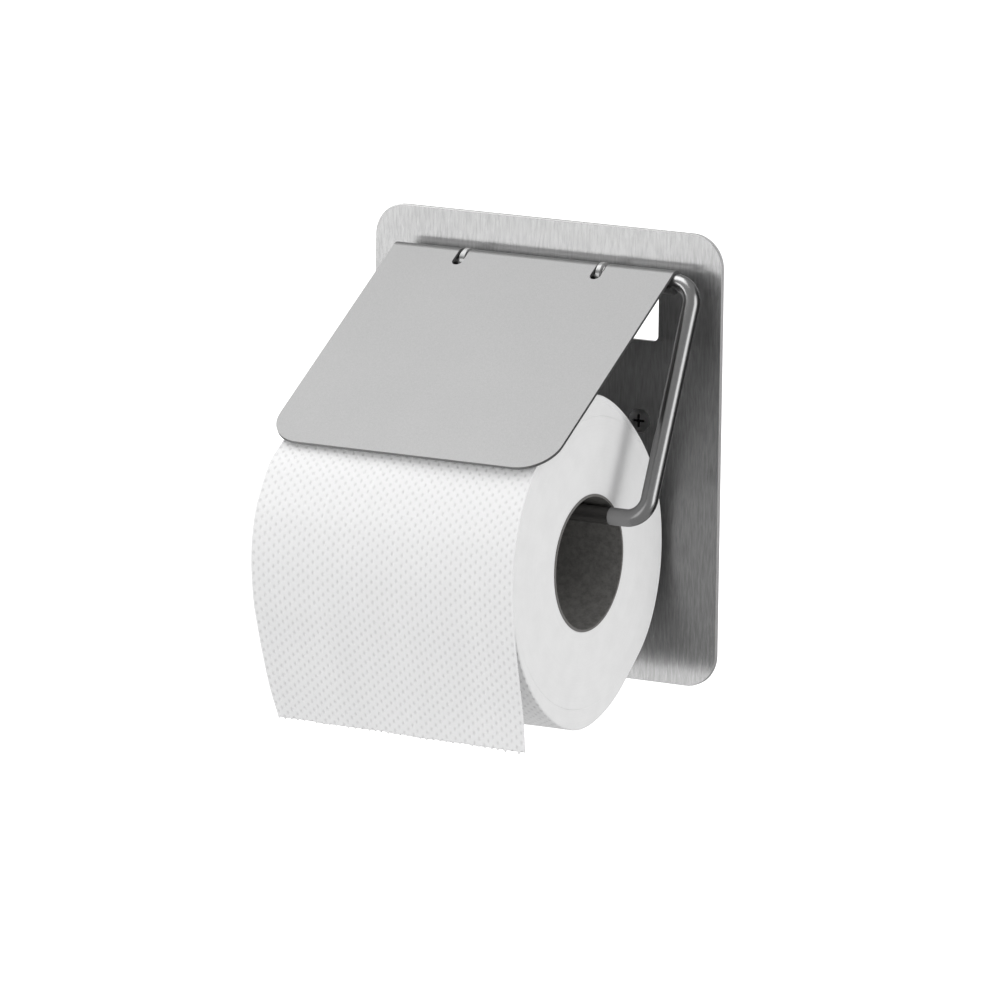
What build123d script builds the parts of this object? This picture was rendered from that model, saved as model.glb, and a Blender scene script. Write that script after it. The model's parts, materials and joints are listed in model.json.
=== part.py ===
from build123d import *
import os
from math import acos, atan2, cos, degrees, hypot, radians, sin, sqrt

os.makedirs("parts", exist_ok=True)

# Wall-mounted toilet paper holder with a hinged cover, made of stainless sheet and bent wire.
# Millimetres. +X is to the right, +Y goes into the wall and +Z is up. Y = 0 is the face of the
# wall, which is also the back of the plate, and X = Z = 0 is the middle of the four wall screws.

# ---- Driving dimensions --------------------------------------------------------------------

# back plate
plate_width = 136.0
plate_height = 156.0
plate_t = 1.5
plate_corner_r = 11.5
plate_edge_break = 0.2
plate_mid_z = 20.0            # the plate's middle stands this far above the middle of the screws
window_width = 87.6
window_bottom = 39.8          # above the plate's middle
window_corner_r = 2.0

# hinge: a shelf bent forward out of the window, with an ear at each end that carries the wire
curl_to_plate = 3.95          # between the curl of the cover and the plate behind it
pivot_above_mid = 62.2        # hinge axis, above the plate's middle
ear_x = 26.5                  # middle of an ear's thickness
ear_wall = 1.35               # round the wire
bend_inner_r = 1.0            # inner radius of each fold in the plate
shelf_gap = 1.5               # between the shelf and the curl of the cover above it

# wire arm
wire_d = 6.0
bend_r = 7.4                  # centre line of both bends
arm_length = 82.3             # from the hinge axis to the middle of the lower leg
hang_angle = 43.1             # from the vertical, from the middle of the core to the wire, at rest
hinge_leg_end_inset = 1.5     # the hinge leg stops this far inside the cover's left edge
free_end_overhang = 7.5       # the lower leg reaches this far past the roll's left end
wire_end_chamfer = 0.6
swage_height = 0.6            # collar pressed up on the wire outside each ear
swage_width = 1.0
swage_gap = 0.2

# cover
cover_width = 109.4
cover_length = 101.0          # from the bend to the front edge
cover_t = 1.0
cover_corner_r = 13.0
curl_wrap = 285.0             # degrees of sheet round the wire
slot_ear_gap = 0.7            # from the slot's inner side to the ear
slot_swage_gap = 0.5          # from the collar to the slot's outer side
slot_reach = 6.8              # the slots run this far down the face from the bend
cover_end_gap = 0.3           # between the cover's right edge and the wire's bend

# paper roll and its core
roll_r = 53.5
roll_width = 97.0
core_inner_r = 22.5
core_wall = 0.8

# hanging sheet
sheet_t = 0.5
sheet_past_cover = 12.4       # degrees round the roll, from where the cover rests to the sheet
sheet_leave = 12.0            # degrees below the roll's foremost point, where the sheet leaves it
sheet_tail = 46.5             # from there to the torn edge

# wall fixings
screw_spacing_x = 74.0
screw_spacing_z = 64.0
screw_head_r = 4.0
screw_head_crown = 0.7
screw_shank_r = 2.0
screw_length = 28.0
screw_tip_length = 3.0
recess_length = 4.4
recess_width = 0.9
recess_depth = 1.6

# clearances
running = 0.05                # radial, where the wire turns in an ear or a curl
rest_gap = 0.3                # where one moving piece rests on another
head_seat_gap = 0.05          # screw head to countersink

# ---- Places worked out from the driving dimensions ------------------------------------------

wire_r = wire_d / 2
curl_inner_r = wire_r + running
curl_outer_r = curl_inner_r + cover_t
pivot_f = plate_t + curl_to_plate + curl_outer_r   # distances named *_f are forward of the wall
pivot_z = plate_mid_z + pivot_above_mid
ear_nose_r = wire_r + running + ear_wall
shelf_top = pivot_z - curl_outer_r - shelf_gap
window_top = shelf_top + bend_inner_r
leg_x = cover_width / 2 + cover_end_gap + bend_r

# The roll leans on the plate, and its core hangs on the lower leg of the wire, which swings
# until the two touch.
roll_f = plate_t + rest_gap + roll_r
core_outer_r = core_inner_r + core_wall
core_to_wire = core_inner_r - wire_r - rest_gap
arm_f = roll_f - core_to_wire * sin(radians(hang_angle))
arm_z = pivot_z - sqrt(arm_length ** 2 - (arm_f - pivot_f) ** 2)
roll_z = arm_z - core_to_wire * cos(radians(hang_angle))

# The cover rests on the roll: its inner face is a tangent to the curl and to the roll.
pivot_to_roll_f = roll_f - pivot_f
pivot_to_roll_z = pivot_z - roll_z
tangent_drop = roll_r + rest_gap - curl_inner_r
cover_slope = (
    degrees(acos(tangent_drop / hypot(pivot_to_roll_f, pivot_to_roll_z)))
    - degrees(atan2(pivot_to_roll_f, pivot_to_roll_z))
)

# Side plane: its x runs forward from the wall and its y runs up.
side = Plane(origin=(0, 0, 0), x_dir=(0, -1, 0), z_dir=(-1, 0, 0))


def across(profile, low_x, high_x):
    """A side profile (forward, up) carried from low_x to high_x."""
    return Pos(high_x, 0, 0) * (side * extrude(profile, amount=high_x - low_x))


def disc(radius, forward, up):
    return Pos(forward, up) * Circle(radius)


def box_profile(low_f, high_f, low_z, high_z):
    middle = Pos((low_f + high_f) / 2, (low_z + high_z) / 2)
    return middle * Rectangle(high_f - low_f, high_z - low_z)


def rod_x(radius, low_x, high_x, forward, up):
    """A cylinder along X."""
    return across(disc(radius, forward, up), low_x, high_x)


# ---- Back plate -----------------------------------------------------------------------------

def screw_places():
    for side_x, name_x in ((-1, "left"), (1, "right")):
        for side_z, name_z in ((1, "upper"), (-1, "lower")):
            yield f"{name_z}_{name_x}", side_x * screw_spacing_x / 2, side_z * screw_spacing_z / 2


def facing_wall(profile, from_f, depth):
    """A profile (x, z) carried from from_f in front of the wall by depth towards the wall."""
    front = Plane(origin=(0, -from_f, 0), x_dir=(1, 0, 0), z_dir=(0, -1, 0))
    return front * extrude(profile, amount=-depth)


def make_plate_sheet():
    outline = RectangleRounded(plate_width, plate_height, plate_corner_r)
    sheet = facing_wall(Pos(0, plate_mid_z) * outline, plate_t, plate_t)
    rim = sheet.faces().sort_by(Axis.Y)[0].outer_wire().edges()
    sheet = chamfer(rim, plate_edge_break)
    bottom = plate_mid_z + window_bottom
    window = RectangleRounded(window_width, window_top - bottom, window_corner_r)
    window_middle = Pos(0, (window_top + bottom) / 2)
    sheet -= facing_wall(window_middle * window, 2 * plate_t, 3 * plate_t)
    for _, x, z in screw_places():
        seat = Cone(screw_head_r + head_seat_gap, screw_shank_r + head_seat_gap, plate_t)
        sheet -= Pos(x, -plate_t / 2, z) * Rot(-90, 0, 0) * seat
    return sheet


def make_shelf():
    """The tongue folded forward from the window's top edge, and its two ears folded up."""
    ear_inner = ear_x - plate_t / 2
    ear_outer = ear_x + plate_t / 2
    fold_outer_r = bend_inner_r + plate_t
    nose_f = pivot_f + ear_nose_r
    heel_f = pivot_f - ear_nose_r

    root = box_profile(0, plate_t, shelf_top - plate_t, window_top)
    root += box_profile(0, nose_f, shelf_top - plate_t, shelf_top)
    root += box_profile(plate_t, fold_outer_r, shelf_top, window_top)
    root -= disc(bend_inner_r, fold_outer_r, window_top)
    corner = box_profile(0, fold_outer_r, shelf_top - plate_t, window_top)
    root -= corner - disc(fold_outer_r, fold_outer_r, window_top)
    tongue = across(root, bend_inner_r - ear_inner, ear_inner - bend_inner_r)

    height = pivot_z + ear_nose_r - shelf_top + plate_t
    outer = Rectangle(2 * ear_outer, 2 * height)
    outer = fillet(outer.vertices(), fold_outer_r)
    inner = Rectangle(2 * ear_inner, 2 * (height - plate_t))
    inner = fillet(inner.vertices(), bend_inner_r)
    upper_half = Pos(0, height) * Rectangle(4 * ear_outer, 2 * height)
    channel = Pos(0, shelf_top - plate_t + height) * ((outer - inner) - upper_half)
    channel = facing_wall(channel, nose_f, nose_f - heel_f)

    ear_side = box_profile(heel_f, nose_f, shelf_top - plate_t, pivot_z)
    ear_side += disc(ear_nose_r, pivot_f, pivot_z)
    channel &= across(ear_side, -ear_outer, ear_outer)
    shelf = tongue + channel
    return shelf - rod_x(wire_r + running, -2 * ear_outer, 2 * ear_outer, pivot_f, pivot_z)


def make_back_plate():
    return make_plate_sheet() + make_shelf()


# ---- Wire arm -------------------------------------------------------------------------------

def make_wire_arm():
    hinge_end_x = -(cover_width / 2 - hinge_leg_end_inset)
    free_end_x = -(roll_width / 2 + free_end_overhang)
    corners = [
        (hinge_end_x, -pivot_f, pivot_z),
        (leg_x, -pivot_f, pivot_z),
        (leg_x, -arm_f, arm_z),
        (free_end_x, -arm_f, arm_z),
    ]
    path = FilletPolyline(*corners, radius=bend_r)
    start = Plane(origin=corners[0], z_dir=(1, 0, 0))
    wire = sweep(start * Circle(wire_r), path=path)
    ends = wire.faces().filter_by(GeomType.PLANE)
    wire = chamfer([edge for face in ends for edge in face.edges()], wire_end_chamfer)
    for hand in (-1, 1):
        near = hand * (ear_x + plate_t / 2 + swage_gap)
        far = near + hand * swage_width
        wire += rod_x(wire_r + swage_height, min(near, far), max(near, far), pivot_f, pivot_z)
    return wire


# ---- Cover ----------------------------------------------------------------------------------

def make_cover():
    """Modelled with its face level and its hinge axis at the origin, then turned to its slope."""
    face = box_profile(0, cover_length, curl_inner_r, curl_outer_r)
    ring = Circle(curl_outer_r) - Circle(curl_inner_r)
    gap_angle = 360 - curl_wrap
    reach = 3 * curl_outer_r
    mouth = Polygon(
        (0, 0),
        (0, reach),
        (reach, reach),
        (reach * sin(radians(gap_angle)), reach * cos(radians(gap_angle))),
        align=None,
    )
    half = cover_width / 2
    cover = across((ring - mouth) + face, -half, half)

    outline = RectangleRounded(cover_width, 2 * cover_length, cover_corner_r)
    behind = Pos(0, 2 * cover_length) * Rectangle(2 * cover_width, 4 * cover_length)
    blank = Pos(0, 0) * outline + behind
    cover &= Pos(0, 0, -2 * curl_outer_r) * extrude(blank, amount=4 * curl_outer_r)

    slot_inner_x = ear_x - plate_t / 2 - slot_ear_gap
    slot_outer_x = ear_x + plate_t / 2 + swage_gap + swage_width + slot_swage_gap
    slot_x = (slot_inner_x + slot_outer_x) / 2
    slot_width = slot_outer_x - slot_inner_x
    straight = slot_reach - slot_width / 2
    for hand in (-1, 1):
        slot = Pos(hand * slot_x, -straight) * Circle(slot_width / 2)
        run = straight + 2 * curl_outer_r
        slot += Pos(hand * slot_x, run / 2 - straight) * Rectangle(slot_width, run)
        cover -= Pos(0, 0, -2 * curl_outer_r) * extrude(slot, amount=4 * curl_outer_r)
    return Pos(0, -pivot_f, pivot_z) * Rot(cover_slope, 0, 0) * cover


# ---- Paper ----------------------------------------------------------------------------------

def make_roll():
    ring = disc(roll_r, roll_f, roll_z) - disc(core_outer_r, roll_f, roll_z)
    return across(ring, -roll_width / 2, roll_width / 2)


def make_core():
    ring = disc(core_outer_r, roll_f, roll_z) - disc(core_inner_r, roll_f, roll_z)
    return across(ring, -roll_width / 2, roll_width / 2)


def make_sheet():
    """The last turn of paper: round the front of the roll, then straight down, leaning back."""
    inner_r = roll_r + rest_gap
    outer_r = inner_r + sheet_t
    reach = 2 * outer_r
    start = radians(90 - cover_slope - sheet_past_cover)
    leave = radians(sheet_leave)
    wedge = Polygon(
        (0, 0),
        (reach * cos(start), reach * sin(start)),
        (reach, 0),
        (reach * cos(leave), -reach * sin(leave)),
        align=None,
    )
    turn = (Circle(outer_r) - Circle(inner_r)) & wedge
    overlap = 0.01
    tail = Pos((inner_r + outer_r) / 2, (overlap - sheet_tail) / 2)
    tail *= Rectangle(sheet_t, sheet_tail + overlap)
    profile = turn + Rot(0, 0, -sheet_leave) * tail
    return across(Pos(roll_f, roll_z) * profile, -roll_width / 2, roll_width / 2)


# ---- Wall fixings ---------------------------------------------------------------------------

def make_screw(x, z):
    """Raised countersunk screw with a cross recess. Its head is as deep as the plate."""
    tip_start = screw_length - screw_tip_length
    crown_r = (screw_head_r ** 2 + screw_head_crown ** 2) / (2 * screw_head_crown)
    half = Polygon(
        (0, 0),
        (screw_head_r, 0),
        (screw_shank_r, plate_t),
        (screw_shank_r, tip_start),
        (0, screw_length),
        align=None,
    )
    crown = Pos(0, crown_r - screw_head_crown) * Circle(crown_r)
    crown &= Pos(screw_head_r / 2, -screw_head_crown / 2) * Rectangle(screw_head_r, screw_head_crown)
    screw = revolve(half + crown, axis=Axis.Y)
    for angle in (0, 90):
        blade = Box(recess_length, recess_depth, recess_width)
        top = Pos(0, recess_depth / 2 - screw_head_crown, 0)
        screw -= Rot(0, angle, 0) * top * blade
    return Pos(x, -plate_t, z) * screw


# ---- Write one file for each piece ----------------------------------------------------------

pieces = {
    "back_plate": make_back_plate(),
    "wire_arm": make_wire_arm(),
    "cover_flap": make_cover(),
    "paper_roll": make_roll(),
    "cardboard_core": make_core(),
    "hanging_sheet": make_sheet(),
}
for place, x, z in screw_places():
    pieces[f"wall_screw_{place}"] = make_screw(x, z)

for name, piece in pieces.items():
    export_step(piece, f"parts/{name}.step")

print(f"hinge axis: y {-pivot_f:.3f}, z {pivot_z:.3f}")
print(f"lower leg: y {-arm_f:.3f}, z {arm_z:.3f}")
print(f"roll axis: y {-roll_f:.3f}, z {roll_z:.3f}")
print(f"cover slope: {cover_slope:.2f} degrees below the horizontal")
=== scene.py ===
# %% [markdown]
# # A toilet paper holder, dressed for its picture
#
# The CAD part is already true in shape and size: a back plate, a hinged cover, a bent wire, a
# paper roll on its core, a hanging sheet and four screws. This lesson loads it as a fixed
# frame and gives each piece the surface that the real one has. Paper has far more detail than
# a CAD solid can hold, so the roll and the sheet are new surfaces laid over the CAD ones. The
# sheet metal keeps its CAD shape and only gets a finish.

import json
from math import pi, radians

import bpy
import numpy as np
from mathutils import Matrix, Vector


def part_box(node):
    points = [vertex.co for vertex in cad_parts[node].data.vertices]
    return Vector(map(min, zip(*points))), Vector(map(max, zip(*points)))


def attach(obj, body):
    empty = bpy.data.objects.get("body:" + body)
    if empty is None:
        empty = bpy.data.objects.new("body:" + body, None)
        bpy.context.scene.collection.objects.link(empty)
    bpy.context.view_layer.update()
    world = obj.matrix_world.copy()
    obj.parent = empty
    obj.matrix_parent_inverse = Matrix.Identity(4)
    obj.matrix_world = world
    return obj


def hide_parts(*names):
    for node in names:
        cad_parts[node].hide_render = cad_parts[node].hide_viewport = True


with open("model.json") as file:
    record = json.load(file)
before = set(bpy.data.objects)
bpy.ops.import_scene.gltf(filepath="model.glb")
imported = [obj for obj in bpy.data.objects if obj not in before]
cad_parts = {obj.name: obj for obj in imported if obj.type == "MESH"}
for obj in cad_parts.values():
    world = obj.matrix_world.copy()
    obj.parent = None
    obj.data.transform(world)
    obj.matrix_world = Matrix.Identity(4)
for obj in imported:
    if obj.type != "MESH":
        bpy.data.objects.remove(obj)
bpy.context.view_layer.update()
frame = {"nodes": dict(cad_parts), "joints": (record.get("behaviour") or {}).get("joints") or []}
MM = 0.001
nodes = frame["nodes"]
joints = {joint["name"]: joint for joint in frame["joints"]}
print("nodes:", sorted(nodes))

# %% [markdown]
# ## The camera
#
# The holder is seen from its right, from a little above, and from far away: at three metres a
# long lens keeps parallel edges nearly parallel. The camera's axes are worked out from three
# angles, and put into its matrix as columns.

# %% Camera
CAMERA_PLACE = Vector((1.5676, -2.7588, 0.6059))
CAMERA_YAW = radians(29.89)      # to the right of straight ahead
CAMERA_PITCH = radians(10.81)    # looking down
CAMERA_ROLL = radians(0.73)
LENS_MM = 339.2

forward = Vector((
    -np.sin(CAMERA_YAW) * np.cos(CAMERA_PITCH),
    np.cos(CAMERA_YAW) * np.cos(CAMERA_PITCH),
    -np.sin(CAMERA_PITCH),
))
level = Vector((np.cos(CAMERA_YAW), np.sin(CAMERA_YAW), 0))
upward = level.cross(forward)
camera_x = np.cos(CAMERA_ROLL) * level + np.sin(CAMERA_ROLL) * upward
camera_y = np.cos(CAMERA_ROLL) * upward - np.sin(CAMERA_ROLL) * level

camera_data = bpy.data.cameras.new("camera")
camera_data.lens = LENS_MM
camera_data.sensor_width = 36
camera_data.clip_end = 20
camera = bpy.data.objects.new("camera", camera_data)
bpy.context.scene.collection.objects.link(camera)
turn = Matrix((camera_x, camera_y, -forward)).transposed()
camera.matrix_world = Matrix.Translation(CAMERA_PLACE) @ turn.to_4x4()
bpy.context.scene.camera = camera
print("camera looks along", forward)

# %% [markdown]
# ## Surfaces from numbers
#
# Every new piece is a grid: rows of points along one direction, columns along the other, all
# worked out at once as numpy arrays. One function turns such a grid into a mesh. Where the
# last column meets the first, or the last row the first, the faces simply count round to the
# start again, so there is no seam to weld.

# %% A grid of points becomes a mesh
def grid_piece(name, points, uv=None, wrap_rows=False, wrap_columns=False, cap_rows=False):
    """Makes a mesh object from points[row, column]; face (r, c) joins it to (r+1, c+1).

    uv[row, column] is the map, with one more row or column than points where they wrap.
    cap_rows closes the first and the last row, each with one flat face.
    """
    rows, columns = points.shape[:2]
    r = np.arange(rows if wrap_rows else rows - 1)[:, None]
    c = np.arange(columns if wrap_columns else columns - 1)[None, :]
    corners = ((0, 0), (0, 1), (1, 1), (1, 0))
    index = [((r + i) % rows) * columns + (c + j) % columns for i, j in corners]
    faces = np.stack(index, axis=-1).reshape(-1, 4).tolist()
    if cap_rows:
        faces.append(list(range(columns)))
        faces.append(list(range(rows * columns - 1, (rows - 1) * columns - 1, -1)))
    mesh = bpy.data.meshes.new(name)
    mesh.from_pydata(points.reshape(-1, 3), [], faces)
    if uv is not None:
        side = uv.shape[1]
        spots = np.stack([(r + i) * side + c + j for i, j in corners], axis=-1).reshape(-1)
        loops = uv.reshape(-1, 2)[spots]
        flat = np.zeros((len(mesh.loops), 2))
        flat[:len(loops)] = loops
        mesh.uv_layers.new(name="paper").data.foreach_set("uv", flat.reshape(-1))
    mesh.shade_smooth()
    mesh.update()
    piece = bpy.data.objects.new(name, mesh)
    bpy.context.scene.collection.objects.link(piece)
    print(f"{name}: {len(mesh.vertices)} points, {len(mesh.polygons)} faces")
    return piece


# %% [markdown]
# ## Smooth random waves
#
# Paper is never quite even. A few sine waves with random directions and phases, added up,
# give a soft unevenness that is the same on every run, because the random numbers are seeded.

# %% Seeded unevenness
def waves(u, v, wavelength, seed, count=9):
    """A sum of sine waves of about one wavelength, each its own way, mostly from -1 to 1."""
    rng = np.random.default_rng(seed)
    total = np.zeros(np.broadcast(u, v).shape)
    for angle, phase, stretch in zip(
        rng.uniform(0, 2 * pi, count), rng.uniform(0, 2 * pi, count), rng.uniform(0.6, 1.6, count)
    ):
        k = 2 * pi / (wavelength * stretch)
        total += np.sin(k * (u * np.cos(angle) + v * np.sin(angle)) + phase)
    return total / count * 1.6


def smooth(low, high, x):
    """0 below low, 1 above high, and an S-shaped rise between them."""
    t = np.clip((x - low) / (high - low), 0, 1)
    return t * t * (3 - 2 * t)


# %% [markdown]
# ## The places that the frame gives
#
# The roll's middle, its radius and its ends come from the CAD node's box, and the hinge axis
# from the record's joint. What the frame can't give, such as the squeezed outline of the roll,
# the sheet's curves, the camera and the lights, was chosen.

# %% Sizes from the frame
roll_low, roll_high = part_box("paper_roll")
core_low, core_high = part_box("cardboard_core")
wire_low, wire_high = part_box("wire_arm")

ROLL_Y = (roll_low.y + roll_high.y) / 2
ROLL_Z = (roll_low.z + roll_high.z) / 2
ROLL_R = (roll_high.z - roll_low.z) / 2
CORE_R = (core_high.z - core_low.z) / 2
HALF_WIDTH = roll_high.x
HINGE_Y, HINGE_Z = joints["arm_swing"]["pos_m"][1:]
print(f"roll: radius {ROLL_R:.4f}, core {CORE_R:.4f}, middle {ROLL_Y:.4f} {ROLL_Z:.4f}")

# %% [markdown]
# ## The wound roll
#
# A roll is one long strip of tissue wound hundreds of times. From outside that shows as an
# embossed skin, and on the end faces as fine rings. Packed rolls get squeezed, so the loose
# outer turns lie in an oval, taller than it is wide, and flattened where the cover presses on
# them. The tight inner turns spin with the core. The loose ones stay behind with the hanging
# sheet, so the roll is two pieces, both closed profiles carried round the same axis: along the
# skin, down one end face, back through the bore and up the other face.

# %% Outline of the loose turns
# degrees above the roll's foremost point, and radius in millimetres
LOOSE_OUTLINE = np.array([
    (-180, 51.0), (-150, 52.1), (-138, 52.4), (-127, 51.8), (-112, 54.0), (-88, 57.1), (-75, 56.3),
    (-50, 53.5), (-20, 51.3), (0, 50.9), (30, 51.9), (57, 53.4), (75, 55.4), (93, 57.5),
    (104, 55.3), (115, 53.1), (128, 51.3), (150, 50.8),
])
TIGHT_R = 49.6 * MM
SKIN_END = 0.9 * MM              # how far short of the width the straight part of the skin ends
FACE_INSET = 0.3 * MM            # how far in the end faces lie
MAP_PER_METRE = 10               # the paper's map counts decimetres
ROUND_STEPS = 360
ROUND_ANGLES = np.linspace(0, 2 * pi, ROUND_STEPS, endpoint=False)[:, None]


def loose_r(angle):
    """Straight runs between the radii above, rounded by the mean over 12 degrees."""
    spread = np.linspace(-6, 6, 7)
    runs = [np.interp(np.degrees(angle) + s, *LOOSE_OUTLINE.T, period=360) for s in spread]
    return np.mean(runs, axis=0) * MM


def on_roll(angle, out):
    """A point (y, z) at an angle above the roll's foremost point, out from its skin."""
    radius = loose_r(angle) + out
    return ROLL_Y - radius * np.cos(angle), ROLL_Z + radius * np.sin(angle)


# %% The roll's two surfaces
def end_face(radius, angle, rim_r):
    """How far an end face stands out: uneven turns, a slow wander and a dip inside rim_r."""
    turns = 0.03 * MM * waves(radius / MM * 1.9, np.zeros_like(radius), 5.0, seed=3)
    y = radius * np.cos(angle) / MM
    z = radius * np.sin(angle) / MM
    wander = 0.10 * MM * waves(y, z, 45, seed=5)
    dip = np.exp(-((rim_r - radius - 1.5 * MM) / (0.35 * MM)) ** 2)
    upper = 0.5 + 0.5 * np.cos(angle - radians(125))
    return turns + wander - 0.35 * MM * dip * upper ** 2


def wound_piece(name, outer_r, inner_r, rim, face_steps, dip_r):
    """A ring between two radii, with its outer rim rounded.

    outer_r, inner_r and dip_r are radii for every angle. The face dips just inside dip_r.
    """
    angle = ROUND_ANGLES
    flat = HALF_WIDTH - SKIN_END
    corner = np.linspace(0, pi / 2, 7)[1:-1][None, :]
    skin_x = np.linspace(-flat, flat, 60)[None, :]
    share = np.linspace(0, 1, face_steps)[None, :]
    share[:, 1] = 0.004          # a ring close to each rim keeps the face's shading flat
    share[:, -2] = 0.996
    face_r = (outer_r - rim) * (1 - share) + inner_r * share
    bore_x = np.linspace(flat, -flat, 12)[None, :]

    ones = np.ones_like(angle)
    soft = 0.08 * MM * waves(ones * skin_x / MM, angle * ROLL_R / MM, 22, seed=11)
    face_x = HALF_WIDTH - FACE_INSET + end_face(face_r, angle, dip_r)
    rim_x = flat + (face_x[:, :1] - flat) * np.sin(corner)
    rim_r = outer_r - rim + rim * np.cos(corner)
    bore_r = inner_r * np.ones_like(bore_x)
    along = np.concatenate(
        [ones * skin_x, rim_x, face_x, ones * bore_x, -face_x[:, ::-1], -rim_x[:, ::-1]], axis=1
    )
    radius = np.concatenate(
        [outer_r + soft, rim_r, face_r, bore_r, face_r[:, ::-1], rim_r[:, ::-1]], axis=1
    )
    points = np.stack(
        [along, ROLL_Y - radius * np.cos(angle), ROLL_Z + radius * np.sin(angle)], axis=-1
    )
    x = np.concatenate([along, along[:, :1]], axis=1)
    x = np.concatenate([x, x[:1]], axis=0)
    turned = np.linspace(0, 2 * pi, ROUND_STEPS + 1)[:, None]
    uv = np.stack([x, turned * ROLL_R * np.ones_like(x)], axis=-1) * MAP_PER_METRE
    return grid_piece(name, points, uv, wrap_rows=True, wrap_columns=True)


FULL_TURN = np.ones_like(ROUND_ANGLES)     # makes one radius count for every angle
tight_roll = wound_piece(
    "wound_roll", TIGHT_R * FULL_TURN, (CORE_R + 0.01 * MM) * FULL_TURN,
    rim=0.02 * MM, face_steps=50, dip_r=(TIGHT_R + 9 * MM) * FULL_TURN,
)
loose_turns = wound_piece(
    "loose_turns", loose_r(ROUND_ANGLES), (TIGHT_R + 0.03 * MM) * FULL_TURN,
    rim=0.8 * MM, face_steps=16, dip_r=loose_r(ROUND_ANGLES),
)

# %% [markdown]
# ## The hanging sheet
#
# The last turn comes forward over the roll from under the cover, and hangs. It was pulled off
# a little crooked: its right edge hugs the roll, and its left edge stands further forward and
# swings back lower down. Each edge is a smooth curve through a few points, and the sheet is
# what lies between the two curves. The lower edge was torn along its perforation, so it ends
# in small tags.

# %% Two edge curves
SHEET_T = 0.16 * MM
SHEET_GAP = 0.25 * MM
START = 52                       # degrees above the roll's foremost point
SHEET_ROWS = 172
SHEET_COLUMNS = 276
TAG_PITCH = 2.55 * MM


def smooth_curve(points, count):
    """Catmull and Rom's spline through points, parted evenly along its length."""
    p = np.array(points, float)
    p = np.concatenate([[2 * p[0] - p[1]], p, [2 * p[-1] - p[-2]]])
    t = np.linspace(0, 1, 60, endpoint=False)[:, None]
    spans = [
        0.5 * (2 * b + (c - a) * t + (2 * a - 5 * b + 4 * c - d) * t ** 2
               + (3 * b - a - 3 * c + d) * t ** 3)
        for a, b, c, d in zip(p[:-3], p[1:-2], p[2:-1], p[3:])
    ]
    line = np.concatenate(spans + [p[-2:-1]])
    steps = np.concatenate([[0], np.cumsum(np.linalg.norm(np.diff(line, axis=0), axis=1))])
    even = np.linspace(0, steps[-1], count)
    return np.stack([np.interp(even, steps, line[:, i]) for i in (0, 1)], axis=-1), steps[-1]


right_edge = [on_roll(radians(a), SHEET_GAP) for a in (START, 40, 28, 14, 0)] + [
    (ROLL_Y - 50.4 * MM, ROLL_Z - 10 * MM),
    (ROLL_Y - 48.7 * MM, ROLL_Z - 20 * MM),
    (ROLL_Y - 45.7 * MM, ROLL_Z - 33 * MM),
    (ROLL_Y - 42.6 * MM, ROLL_Z - 46.5 * MM),
    (ROLL_Y - 41.2 * MM, ROLL_Z - 57.4 * MM),
]
left_edge = [on_roll(radians(START), SHEET_GAP), on_roll(radians(44.5), 1.2 * MM)] + [
    (ROLL_Y - 46.4 * MM, ROLL_Z + 32.4 * MM),
    (ROLL_Y - 51.7 * MM, ROLL_Z + 25.5 * MM),
    (ROLL_Y - 56.6 * MM, ROLL_Z + 15.5 * MM),
    (ROLL_Y - 58.7 * MM, ROLL_Z + 2.0 * MM),
    (ROLL_Y - 57.2 * MM, ROLL_Z - 12.5 * MM),
    (ROLL_Y - 54.0 * MM, ROLL_Z - 23.5 * MM),
    (ROLL_Y - 48.7 * MM, ROLL_Z - 38.5 * MM),
    (ROLL_Y - 45.1 * MM, ROLL_Z - 47.0 * MM),
    (ROLL_Y - 40.1 * MM, ROLL_Z - 56.6 * MM),
]
right_line, right_length = smooth_curve(right_edge, SHEET_ROWS)
left_line, left_length = smooth_curve(left_edge, SHEET_ROWS)
print(f"edges: right {right_length:.4f}, left {left_length:.4f}")


# %% The dimples' lattice
PITCH_ACROSS = 3.65              # millimetres between dimples in a row
PITCH_DOWN = 2 * pi * ROLL_R / MM / 190    # between rows: 190 of them go round the roll
ROW_SHIFT = PITCH_ACROSS / 2
DIMPLE_ACROSS = 0.60             # half sizes of a dimple, in millimetres
DIMPLE_DOWN = 0.92
DIMPLE_FROM = 0.05               # how far from its middle a dimple's wall begins, in half sizes
DIMPLE_TO = 1.2                  # and where it ends
DIMPLE_DEPTH = 0.10 * MM

# %% Wrinkles that hang down from under the cover
RIPPLE = 0.28 * MM
WRINKLE_WIDTH = 1.1              # half sizes of a wrinkle, in millimetres
WRINKLE_LENGTH = 9.0
# for each: place across and place down in millimetres, slant, and height in millimetres
WRINKLES = (
    (-22, 26, 0.10, 0.20),
    (-8, 22, 0.16, 0.24),
    (-18, 33, 0.12, 0.14),
    (6, 30, 0.10, 0.10),
)


def dimple_at(x, y):
    """1 in the middle of a dimple and 0 between them, x across and y down in millimetres."""
    row = y / PITCH_DOWN
    row_part = (row + 0.5) % 1 - 0.5
    column_part = ((x - row * ROW_SHIFT) / PITCH_ACROSS + 0.5) % 1 - 0.5
    off_x = (column_part * PITCH_ACROSS + row_part * ROW_SHIFT) / DIMPLE_ACROSS
    off_y = row_part * PITCH_DOWN / DIMPLE_DOWN
    return 1 - smooth(DIMPLE_FROM, DIMPLE_TO, np.hypot(off_x, off_y))


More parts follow.
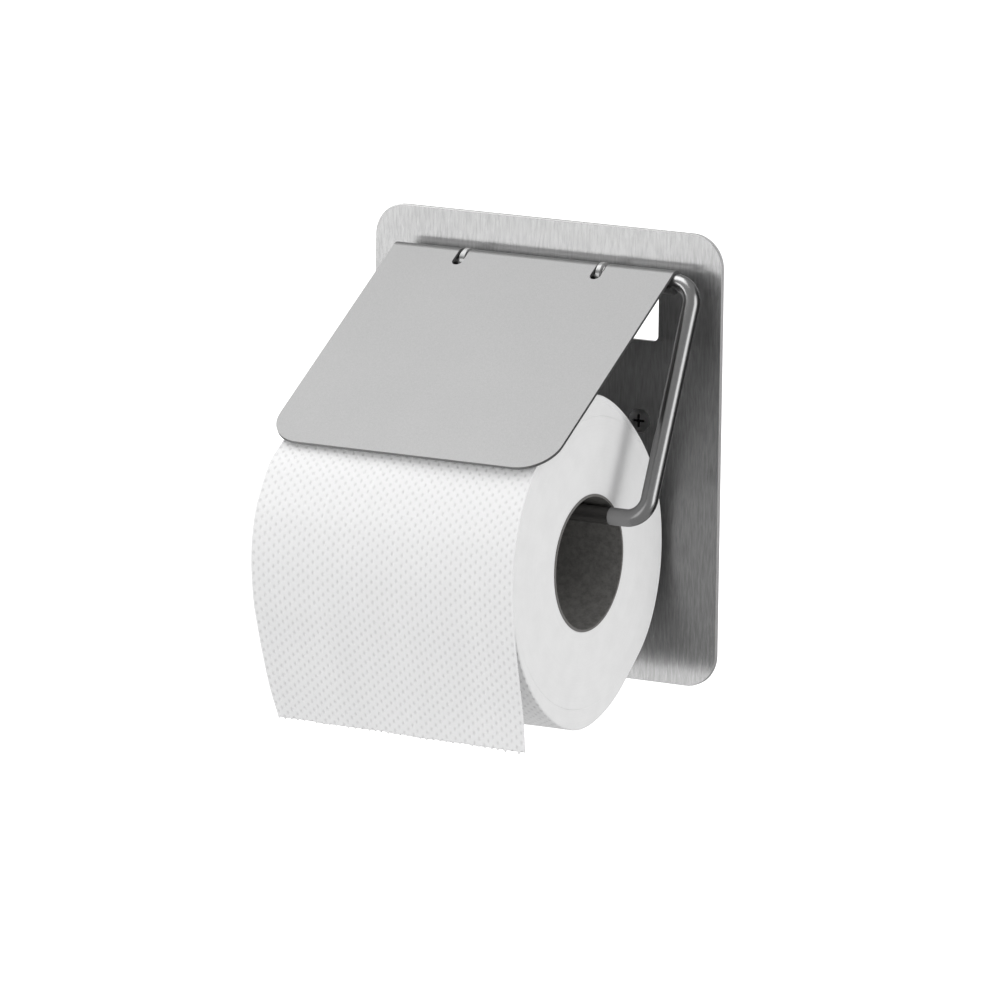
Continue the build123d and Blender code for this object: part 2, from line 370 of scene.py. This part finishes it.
# %% The sheet between its edges
def torn_tags(x, seed=8):
    """How much longer or shorter the sheet is at x: tags left by the cuts of a perforation."""
    rng = np.random.default_rng(seed)
    places = np.arange(-22, 23)              # one tag every TAG_PITCH, from edge to edge
    size = rng.uniform(0.15, 1.0, len(places)) * MM
    slant = rng.uniform(0.2, 0.5, len(places)) * MM
    shift = rng.uniform(-0.25, 0.25, len(places)) * MM
    d = x[:, None] - (places * TAG_PITCH + shift)[None, :]
    tags = (size * np.exp(-(d / slant) ** 2)).sum(axis=1)
    return tags + 0.25 * MM * waves(x / MM, np.zeros_like(x), 9, seed=9)


def sheet_surface():
    """Points between the two edges: rows run down the sheet, columns from left to right.

    Each point is a mix of the two edge curves, moved outward by ripples, wrinkles and curled
    margins, and inward by dimples. The last rows are drawn out into the torn tags.
    """
    across = np.linspace(-HALF_WIDTH, HALF_WIDTH, SHEET_COLUMNS)
    share = (across + HALF_WIDTH) / (2 * HALF_WIDTH)
    ease = (share ** 0.8)[None, :, None]
    lines = left_line[:, None, :] * (1 - ease) + right_line[:, None, :] * ease
    down = np.linspace(0, 1, SHEET_ROWS)[:, None]
    length = (left_length * (1 - share) + right_length * share)[None, :] * down

    heading = np.gradient(lines, axis=0)
    heading /= np.linalg.norm(heading, axis=-1, keepdims=True)
    outward = np.stack([heading[..., 1], -heading[..., 0]], axis=-1)
    free = smooth(0.25, 0.75, down)
    held = smooth(0.0, 0.12, down)
    loose = held * 0.35 + free
    across_mm = across[None, :] / MM
    down_mm = length / MM
    ripple = RIPPLE * waves(across_mm, down_mm * 0.25, 24, seed=21) * loose
    wrinkles = np.zeros_like(ripple)
    for place_across, place_down, slant, height in WRINKLES:
        off = across_mm - place_across + slant * (down_mm - place_down)
        off_down = (down_mm - place_down) / WRINKLE_LENGTH
        wrinkles += height * MM * np.exp(-(off / WRINKLE_WIDTH) ** 2 - off_down ** 2)
    curl = 0.2 * MM * smooth(0.93, 1.0, np.abs(2 * share - 1))[None, :] * free
    lift = np.clip(ripple + RIPPLE * loose, 0, None) + wrinkles * held - curl
    lift = lift - DIMPLE_DEPTH * dimple_at(across_mm, down_mm)
    lines = lines + outward * lift[..., None]

    last = smooth(0.985, 1.0, down)
    lines = lines + heading * (torn_tags(across)[None, :] * last)[..., None]
    x = np.broadcast_to(across[None, :], length.shape)
    points = np.concatenate([x[..., None], lines], axis=-1)
    uv = np.stack([x, length], axis=-1) * MAP_PER_METRE
    return points, uv


sheet_points, sheet_uv = sheet_surface()
sheet = grid_piece("torn_sheet", sheet_points, sheet_uv)
thick = sheet.modifiers.new("thickness", "SOLIDIFY")
thick.thickness = SHEET_T
thick.offset = 0

# %% [markdown]
# ## The wire
#
# One piece of 6 mm wire makes the hinge pin, the leg beside the roll and the leg in the core.
# Its CAD solid has the right shape, but a polished rod shows every flat that a CAD mesh
# leaves, so a finer one is drawn: a circle carried along the same path. Both bends lie in one
# plane, so the circle keeps one axis square to that plane all the way.

# %% The wire's path and surface
WIRE_R = 3.0 * MM
BEND_R = 7.4 * MM
PIN_END_X = -53.2 * MM
COLLAR_R = 3.6 * MM
COLLAR_X = 27.45 * MM            # where a collar starts, from the middle
COLLAR_W = 1.0 * MM
COLLAR_EDGE = 0.15 * MM          # how far a collar takes to reach its full radius
END_BREAK = 0.6 * MM

pin_start = np.array([PIN_END_X, HINGE_Y, HINGE_Z])
upper_corner = np.array([wire_high.x - WIRE_R, HINGE_Y, HINGE_Z])
lower_corner = np.array([wire_high.x - WIRE_R, wire_low.y + WIRE_R, wire_low.z + WIRE_R])
free_end = np.array([wire_low.x, lower_corner[1], lower_corner[2]])


def arc(corner, before, after, count=26):
    """Points of the bend that rounds a square corner between two directions."""
    a = (before - corner) / np.linalg.norm(before - corner)
    b = (after - corner) / np.linalg.norm(after - corner)
    centre = corner + BEND_R * (a + b)
    t = np.linspace(0, pi / 2, count)[:, None]
    return centre - BEND_R * (b * np.cos(t) + a * np.sin(t))


def wire_surface():
    """A circle on each point of the path; its radius changes at the collars and the ends."""
    leg = (lower_corner - upper_corner) / np.linalg.norm(lower_corner - upper_corner)
    upper_bend = arc(upper_corner, pin_start, lower_corner)
    lower_bend = arc(lower_corner, upper_corner, free_end)
    collar_end = COLLAR_X + COLLAR_W
    collar = [COLLAR_X, COLLAR_X + COLLAR_EDGE, collar_end - COLLAR_EDGE, collar_end]
    collar_r = [WIRE_R, COLLAR_R, COLLAR_R, WIRE_R]
    pin_x = np.array(
        [PIN_END_X, PIN_END_X + END_BREAK] + [-x for x in reversed(collar)] + [0] + collar
    )
    pin_r = np.array([WIRE_R - END_BREAK, WIRE_R] + collar_r + [WIRE_R] + collar_r)
    pin = np.stack([pin_x, np.full_like(pin_x, HINGE_Y), np.full_like(pin_x, HINGE_Z)], axis=-1)
    tail = np.array([[free_end[0] + END_BREAK, *free_end[1:]], free_end])
    path = np.concatenate([pin, upper_bend, lower_bend, tail])
    radius = np.concatenate(
        [pin_r, np.full(len(upper_bend) + len(lower_bend), WIRE_R), [WIRE_R, WIRE_R - END_BREAK]]
    )
    tangent = np.gradient(path, axis=0)
    tangent[:len(pin)] = (1, 0, 0)
    tangent[-len(tail):] = (-1, 0, 0)
    tangent /= np.linalg.norm(tangent, axis=1, keepdims=True)
    square = np.cross((1.0, 0, 0), leg)
    sideways = np.cross(square, tangent)
    turn = np.linspace(0, 2 * pi, 64, endpoint=False)[None, :, None]
    ring = sideways[:, None, :] * np.cos(turn) + square * np.sin(turn)
    return path[:, None, :] + ring * radius[:, None, None]


wire = grid_piece("bent_wire", wire_surface(), wrap_columns=True, cap_rows=True)

# %% [markdown]
# ## Shader sums as Python
#
# A material is a network of nodes. Writing `1 - mask` is far easier to read than wiring up a
# Math node, so a small class wraps a socket and turns Python's operators into Math nodes.

# %% Sockets that can be added and multiplied
class Value:
    """A socket of a shader. Arithmetic on it adds Math nodes."""

    def __init__(self, shader, socket):
        self.shader = shader
        self.socket = socket

    def math(self, operation, *others):
        inputs = {index + 1: other for index, other in enumerate(others)}
        return self.shader.node("ShaderNodeMath", {"operation": operation}, {0: self, **inputs})

    def __add__(self, other):
        return self.math("ADD", other)

    def __mul__(self, other):
        return self.math("MULTIPLY", other)

    def __sub__(self, other):
        return self.math("SUBTRACT", other)

    def __truediv__(self, other):
        return self.math("DIVIDE", other)

    def __rsub__(self, other):
        return self * -1 + other

    __radd__ = __add__
    __rmul__ = __mul__

    def rise(self, low, high):
        """0 below low, 1 above high, with a smooth rise between."""
        settings = {"interpolation_type": "SMOOTHSTEP"}
        inputs = {"Value": self, "From Min": low, "From Max": high}
        return self.shader.node("ShaderNodeMapRange", settings, inputs)

    def split(self):
        """The three parts of a vector."""
        first = self.shader.node("ShaderNodeSeparateXYZ", {}, {0: self})
        return [Value(self.shader, socket) for socket in first.socket.node.outputs]

    def size(self):
        return self.math("ABSOLUTE")

    def most(self, other):
        return self.math("MAXIMUM", other)


class Shader:
    """A material and its nodes."""

    def __init__(self, name):
        self.material = bpy.data.materials.new(name)
        self.material.use_nodes = True
        self.tree = self.material.node_tree
        self.tree.nodes.clear()

    def node(self, kind, settings, inputs, output=0):
        """Adds a node; a Value among its inputs is linked, and anything else is set."""
        made = self.tree.nodes.new(kind)
        for name, value in settings.items():
            setattr(made, name, value)
        for name, value in inputs.items():
            if isinstance(value, Value):
                self.tree.links.new(value.socket, made.inputs[name])
            else:
                made.inputs[name].default_value = value
        return Value(self, made.outputs[output])

    def place(self):
        """Object coordinates: metres, in the same frame as the CAD."""
        return self.node("ShaderNodeTexCoord", {}, {}, output="Object")

    def paper_map(self):
        """The piece's own map, in decimetres across and along the paper."""
        return self.node("ShaderNodeUVMap", {"uv_map": "paper"}, {})

    def scaled(self, vector, scale, location=(0, 0, 0), rotation=(0, 0, 0)):
        inputs = {"Vector": vector, "Scale": scale, "Location": location, "Rotation": rotation}
        return self.node("ShaderNodeMapping", {}, inputs)

    def noise(self, vector, scale, detail=2.0, rough=0.5):
        inputs = {"Vector": vector, "Scale": scale, "Detail": detail, "Roughness": rough}
        return self.node("ShaderNodeTexNoise", {}, inputs)

    def blend(self, factor, first, second):
        """Two colours mixed by a factor."""
        inputs = {0: factor, 6: first, 7: second}
        return self.node("ShaderNodeMix", {"data_type": "RGBA"}, inputs, output=2)

    def bump(self, height, distance, strength=1.0):
        """A normal tilted as if the surface stood out by height times distance."""
        inputs = {"Height": height, "Distance": distance, "Strength": strength}
        return self.node("ShaderNodeBump", {}, inputs)

    def facing(self):
        """The way a point of the surface faces, in the object's own frame."""
        return self.node("ShaderNodeTexCoord", {}, {}, output="Normal").split()

    def finish(self, **sockets):
        """Principled surface from named values; Base_Color stands for 'Base Color'."""
        inputs = {name.replace("_", " "): value for name, value in sockets.items()}
        surface = self.node("ShaderNodeBsdfPrincipled", {}, inputs)
        end = self.tree.nodes.new("ShaderNodeOutputMaterial")
        self.tree.links.new(surface.socket, end.inputs["Surface"])
        return self.material


def grey(level):
    """A colour with three equal parts."""
    return (level, level, level, 1)


# %% [markdown]
# ## Brushed sheet metal
#
# A belt of grit drags fine scratches along the sheet. Close up they are long thin lines, and
# from afar they blur reflections sideways, across the lines. Noise stretched a hundredfold
# along the grain gives the lines, a little in the colour, a little in the gloss and a little
# as relief.

# %% Plate and cover finishes
COVER_SLOPE = radians(32.6)


def plate_edge(s):
    """1 on the plate's cut edges, 0 on its faces."""
    return 1 - s.facing()[1].size().rise(0.80, 0.97)


def cover_edge(s):
    """1 on the cover's cut edges: its sides, and its front, which faces down the slope."""
    x, y, z = s.facing()
    down = y * -np.cos(COVER_SLOPE) - z * np.sin(COVER_SLOPE)
    _, place_y, _ = s.place().split()
    front = down.rise(0.5, 0.8) * (1 - place_y.rise(-0.06, -0.05))
    return x.size().rise(0.5, 0.8).most(front)


def brushed_finish(
    name, stretch, rotation, light, dark, gloss, edge, painted_edge_tone, metal=1.0, sideways=0.0
):
    """Stainless sheet: stretch is the noise's scale along x, y and z, after the rotation."""
    s = Shader(name)
    grain = s.scaled(s.place(), stretch, rotation=rotation)
    lines = s.noise(grain, 1.0, detail=3.0, rough=0.7)
    clouds = s.noise(s.place(), 26.0, detail=3.0)
    tone = lines * 0.85 + clouds * 0.15
    colour = s.blend(tone.rise(0.30, 0.70), grey(dark), grey(light))
    cut = edge(s)
    # Cut edges get more roughness, their own finish, and a tone of their own that is painted
    # light: a painted highlight on the plate's edges and painted shade on the cover's.
    colour = s.blend(cut, colour, grey(painted_edge_tone))
    return s.finish(
        Base_Color=colour,
        Metallic=metal,
        Roughness=gloss + 0.10 * (lines - 0.5) + 0.2 * cut,
        Anisotropic=sideways,
        Normal=s.bump(lines, 0.02 * MM, 0.5),
    )


# the plate's cut edges are coloured light: painted highlight
plate_finish = brushed_finish(
    "brushed_plate", (1300, 1300, 150), (0, 0, 0), light=0.56, dark=0.39, gloss=0.25,
    edge=plate_edge, painted_edge_tone=0.85, metal=0.78, sideways=0.95,
)
# the cover's cut edges, sides and front, are coloured dark: painted shade
cover_finish = brushed_finish(
    "brushed_cover", (3000, 150, 3000), (COVER_SLOPE, 0, 0), light=0.495, dark=0.43, gloss=0.42,
    edge=cover_edge, painted_edge_tone=0.34,
)

# %% [markdown]
# ## Polished wire
#
# The wire is drawn and polished: nearly a mirror, with faint lines along its length and a
# slight haze.

# %% Wire finish
def polished_finish(name, level, gloss):
    """Drawn wire: level is its grey, gloss its roughness, and a cloud varies both a little."""
    s = Shader(name)
    haze = s.noise(s.place(), 260.0, detail=4.0)
    return s.finish(
        Base_Color=s.blend(haze, grey(level * 0.94), grey(level * 1.04)),
        Metallic=1.0,
        Roughness=gloss + 0.06 * (haze - 0.5),
        Normal=s.bump(s.noise(s.place(), 900.0), 0.004 * MM, 0.4),
    )


wire_finish = polished_finish("polished_wire", 0.58, 0.26)


# %% Screws: steel, painted shade in the recess, threaded behind the plate
def screw_steel():
    """Steel with painted shade, near black, in the head's recess, and a thread pattern on the
    shank.

    y grows into the wall: the recess ends at 0, and the thread begins between 1 and 3 mm.
    """
    s = Shader("screw_steel")
    x, y, z = s.place().split()
    painted_recess_shade = y.rise(-1.25 * MM, -0.95 * MM) * (1 - y.rise(-0.1 * MM, 0.0))
    haze = s.noise(s.place(), 260.0, detail=4.0)
    turn = (y / (1.6 * MM) + x / (9.0 * MM)).math("FRACT")
    thread = ((turn - 0.5).size() * 2) * y.rise(1.0 * MM, 3.0 * MM)
    colour = s.blend(haze, grey(0.66), grey(0.76))
    # painted shade: the head's recess is coloured near black for the shade in it
    colour = s.blend(painted_recess_shade, colour, grey(0.03))
    return s.finish(
        Base_Color=s.blend(thread * 0.5, colour, grey(0.30)),
        Metallic=1.0,
        Roughness=0.30 + 0.06 * (haze - 0.5),
        Normal=s.bump(thread, 0.9 * MM, 1.0),
    )


screw_finish = screw_steel()

# %% [markdown]
# ## Tissue
#
# Tissue is pressed between a roller with small pins and a soft one, which leaves rows of
# dimples. The rows are staggered: each is moved along by half the pitch. In the
# shader a point is first turned into row and column numbers, and what is left after the whole
# numbers tells how far it is from its dimple. The sheet's dimples are in its mesh as well, by
# the same formula.

# %% Embossed tissue
MM_PER_MAP = 100                 # the paper's map counts decimetres


def dimples(s, paper):
    """1 in the middle of a dimple, 0 between them: dimple_at as shader nodes."""
    x, y, _ = s.scaled(paper, (MM_PER_MAP, MM_PER_MAP, MM_PER_MAP)).split()
    row = y / PITCH_DOWN
    row_part = (row + 0.5).math("FRACT") - 0.5
    column = (x - row * ROW_SHIFT) / PITCH_ACROSS
    column_part = (column + 0.5).math("FRACT") - 0.5
    off_x = (column_part * PITCH_ACROSS + row_part * ROW_SHIFT) / DIMPLE_ACROSS
    off_y = row_part * PITCH_DOWN / DIMPLE_DOWN
    distance = (off_x * off_x + off_y * off_y).math("SQRT")
    return 1 - distance.rise(DIMPLE_FROM, DIMPLE_TO)


def tissue_finish(name, light, painted_dimple_shade, relief_depth):
    """Tissue: light is its grey, and the value after it how far painted shade darkens the dimples.
    """
    s = Shader(name)
    paper = s.paper_map()
    pressed = dimples(s, paper)
    fibres = s.noise(s.place(), 900.0, detail=5.0, rough=0.7)
    cloud = s.noise(s.place(), 60.0, detail=3.0)
    dull = light * 0.975
    plain = s.blend(cloud, grey(light), (dull, dull, light * 0.98, 1))
    # painted shade: the dimples are coloured darker for the shade in them, and the bump below
    # gives their relief
    colour = s.blend(pressed * painted_dimple_shade, plain, grey(light * 0.68))
    relief = fibres * 0.08 - pressed
    return s.finish(
        Base_Color=colour,
        Roughness=0.92,
        Specular_IOR_Level=0.15,
        Normal=s.bump(relief, relief_depth, 1.0),
    )


# the third value is how far painted shade darkens the dimples
sheet_finish = tissue_finish("tissue_sheet", 0.94, 0.43, 0.18 * MM)
skin_finish = tissue_finish("tissue_skin", 0.91, 0.40, 0.24 * MM)

# %% [markdown]
# ## The roll's end faces
#
# Seen end on, the turns are rings a fraction of a millimetre apart. The distance from the
# axis drives a noise with no other coordinate, so it repeats all the way round, and a weak
# cloud breaks the rings up.

# %% Wound end faces
def rings_finish():
    """Rings of two widths round the axis, broken up by a cloud, and a dark rim at the core."""
    s = Shader("tissue_ends")
    centred = s.scaled(s.place(), (0, 1, 1), location=(0, -ROLL_Y, -ROLL_Z))
    out = s.node("ShaderNodeVectorMath", {"operation": "LENGTH"}, {0: centred}, output="Value")
    cloud = s.noise(s.place(), 140.0, detail=4.0, rough=0.6)
    wobble = out + 0.0006 * s.noise(s.place(), 25.0)
    flat_ring = s.node("ShaderNodeCombineXYZ", {}, {0: wobble})
    rings = s.noise(flat_ring, 2600.0, detail=3.0, rough=0.6)
    wide = s.noise(flat_ring, 420.0, detail=2.0)
    tone = rings * 0.35 + wide * 0.15 + cloud * 0.5
    edge = out.rise(CORE_R, CORE_R + 0.3 * MM)
    colour = s.blend(tone.rise(0.35, 0.65), grey(0.765), grey(0.805))
    colour = s.blend(edge, grey(0.55), colour)
    return s.finish(
        Base_Color=colour,
        Roughness=0.95,
        Specular_IOR_Level=0.1,
        Normal=s.bump(rings * 0.5 + wide * 0.2 + cloud * 0.6, 0.10 * MM, 0.5),
    )


end_finish = rings_finish()

# %% [markdown]
# ## Grey board
#
# The core is a strip of recycled board wound in a spiral, so a dark seam runs round its inside
# like the stripe of a barber's pole.

# %% The core's board
def board_finish():
    """Fibrous board with a dark seam that climbs 62 mm along the core in each turn."""
    s = Shader("grey_board")
    x, y, z = s.scaled(s.place(), (1, 1, 1), location=(0, -ROLL_Y, -ROLL_Z)).split()
    angle = y.math("ARCTAN2", z)
    spiral = (x / (62 * MM) + angle / (2 * pi)).math("FRACT")
    seam = 1 - (spiral - 0.5).size().rise(0.004, 0.014)
    fibres = s.noise(s.place(), 420.0, detail=5.0, rough=0.75)
    colour = s.blend(fibres.rise(0.3, 0.7), (0.15, 0.145, 0.14, 1), (0.24, 0.235, 0.225, 1))
    colour = s.blend(seam * 0.7, colour, (0.07, 0.068, 0.065, 1))
    colour = s.blend(s.facing()[0].size().rise(0.7, 0.9), colour, (0.16, 0.155, 0.15, 1))
    return s.finish(
        Base_Color=colour,
        Roughness=0.9,
        Normal=s.bump(fibres - seam, 0.1 * MM, 0.6),
    )


core_finish = board_finish()

# %% Give every piece its finish
def wear(piece, material):
    """Puts one material in all of a piece's slots."""
    if not piece.data.materials:
        piece.data.materials.append(material)
    for slot in range(len(piece.data.materials)):
        piece.data.materials[slot] = material


wear(nodes["back_plate"], plate_finish)
wear(nodes["cover_flap"], cover_finish)
wear(nodes["cardboard_core"], core_finish)
for name in nodes:
    if name.startswith("wall_screw"):
        wear(nodes[name], screw_finish)
wear(wire, wire_finish)
wear(sheet, sheet_finish)


def wear_rings(piece):
    """The skin finish, and the rings on every face that looks along the axis."""
    wear(piece, skin_finish)
    piece.data.materials.append(end_finish)
    normals = np.zeros(len(piece.data.polygons) * 3)
    piece.data.polygons.foreach_get("normal", normals)
    ends = np.abs(normals.reshape(-1, 3)[:, 0]) > 0.7
    piece.data.polygons.foreach_set("material_index", ends.astype(np.int32))


wear_rings(tight_roll)
wear_rings(loose_turns)

# %% [markdown]
# ## Which body each piece moves with
#
# The sheet moves with its own body, which slides with the roll but doesn't turn with it. Each
# new piece takes the place of one CAD node.

# %% Bodies, replaced nodes and slots
for piece, body, node, slot in (
    (tight_roll, "roll", "paper_roll", "tissue"),
    (sheet, "sheet", "hanging_sheet", "tissue_sheet"),
    (wire, "arm", "wire_arm", "polished_wire"),
):
    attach(piece, body)
    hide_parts(node)
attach(loose_turns, "sheet")

# %% [markdown]
# ## Studio
#
# A pale floor far below, a white surround, and five large soft lights. Metal shows only what
# it mirrors, so the lights' places matter more than their power: the one above lights the
# cover evenly, the strip at the right puts the long bright line on the wire, and the one at
# the front left is what the plate shows above and below the roll. A dark drum round the roll,
# which only mirrors can see, is a painted reflection of shade: it keeps the white paper out of
# the steel.

# %% Floor, surround and lights
HOLDER_MIDDLE = Vector((0, -0.05, 0.02))
UNSEEN_BY = ("camera", "diffuse", "transmission", "volume_scatter", "shadow")


def only_mirrored(piece):
    """Hides a stage piece from everything but mirrors."""
    for ray in UNSEEN_BY:
        setattr(piece, "visible_" + ray, False)


def softbox(name, place, width, height, radiance, mirrored=True):
    """An area light of that brightness, whatever its size, aimed at the holder."""
    light = bpy.data.lights.new(name, "AREA")
    light.shape = "RECTANGLE"
    light.size = width
    light.size_y = height
    light.energy = radiance * pi * width * height
    lamp = bpy.data.objects.new(name, light)
    aim = (HOLDER_MIDDLE - Vector(place)).to_track_quat("-Z", "Y")
    lamp.matrix_world = Matrix.Translation(place) @ aim.to_matrix().to_4x4()
    lamp.visible_glossy = mirrored
    bpy.context.scene.collection.objects.link(lamp)


def make_floor():
    """A square far below the holder, glowing a little so that it stays white at any angle."""
    line = np.linspace(-4, 4, 9)
    x, y = np.meshgrid(line, line, indexing="ij")
    floor = grid_piece("floor", np.stack([x, y, np.full_like(x, -0.45)], axis=-1))
    s = Shader("pale_floor")
    mottle = s.noise(s.place(), 3.0)
    wear(floor, s.finish(
        Base_Color=s.blend(mottle, grey(0.88), grey(0.90)),
        Roughness=0.9,
        Emission_Color=grey(1.0),
        Emission_Strength=0.8,
    ))
    floor.visible_diffuse = False
    floor.visible_glossy = False


def make_surround(seen, mirrored, fill):
    """A world with one brightness for the camera, one for mirrors and one for soft fill."""
    world = bpy.data.worlds.new("surround")
    bpy.context.scene.world = world
    world.use_nodes = True
    tree = world.node_tree
    ray = tree.nodes.new("ShaderNodeLightPath")
    picks = []
    for kind, level in (("Is Glossy Ray", mirrored), ("Is Camera Ray", seen)):
        pick = tree.nodes.new("ShaderNodeMix")
        pick.data_type = "RGBA"
        pick.inputs[7].default_value = grey(level)
        tree.links.new(ray.outputs[kind], pick.inputs[0])
        picks.append(pick)
    picks[0].inputs[6].default_value = grey(fill)
    tree.links.new(picks[0].outputs[2], picks[1].inputs[6])
    tree.links.new(picks[1].outputs[2], tree.nodes["Background"].inputs["Color"])


make_floor()
make_surround(seen=1.1, mirrored=0.25, fill=0.60)
softbox("light_above", (-0.95, -0.25, 1.8), 1.6, 2.0, 1.6)
softbox("light_front_left", (-1.5, -2.0, -0.15), 1.9, 2.2, 1.62)
softbox("card_front", (0.0, -2.6, 0.3), 0.9, 1.6, 0.5)
softbox("light_right", (1.6, 0.12, 0.5), 0.45, 1.5, 3.4, mirrored=False)
softbox("strip_right", (1.65, -0.12, 0.5), 0.85, 1.7, 1.1)
bpy.context.scene.view_settings.view_transform = "Standard"


# %% The drum round the roll: a painted reflection of shade
def make_painted_reflection_drum():
    """A closed dark drum a little larger than the roll, seen by mirrors and by nothing else: a
    painted reflection of shade.
    """
    angle = np.linspace(0, 2 * pi, 120, endpoint=False)[None, :]
    ends = np.array([[-HALF_WIDTH], [HALF_WIDTH]]) * 1.015
    y, z = on_roll(angle, 0.12 * MM)
    points = np.stack(np.broadcast_arrays(ends, y, z), axis=-1)
    reflection_drum = grid_piece("painted_reflection_drum", points, wrap_columns=True, cap_rows=True)
    s = Shader("painted_reflection_drum")
    drum_mottle = s.noise(s.place(), 300.0)
    # painted reflection: the steel mirrors this dark grey in place of the white roll, as painted
    # shade
    wear(reflection_drum, s.finish(Base_Color=s.blend(drum_mottle, grey(0.30), grey(0.36)), Roughness=1.0))
    only_mirrored(reflection_drum)


make_painted_reflection_drum()


# %% The dark card
def make_card():
    """An upright black card behind the holder on its right, which darkens the wire's far side."""
    x = np.array([1.8, 1.2, 0.6])[:, None]
    y = np.array([0.7, 1.5, 2.3])[:, None]
    z = np.array([-1.6, 0.1, 1.8])[None, :]
    card = grid_piece("dark_card", np.stack(np.broadcast_arrays(x, y, z), axis=-1))
    s = Shader("dark_card")
    mottle = s.noise(s.place(), 3.0)
    wear(card, s.finish(Base_Color=s.blend(mottle, grey(0.01), grey(0.02)), Roughness=1.0))
    only_mirrored(card)


make_card()

# %% Finish
print("finished")
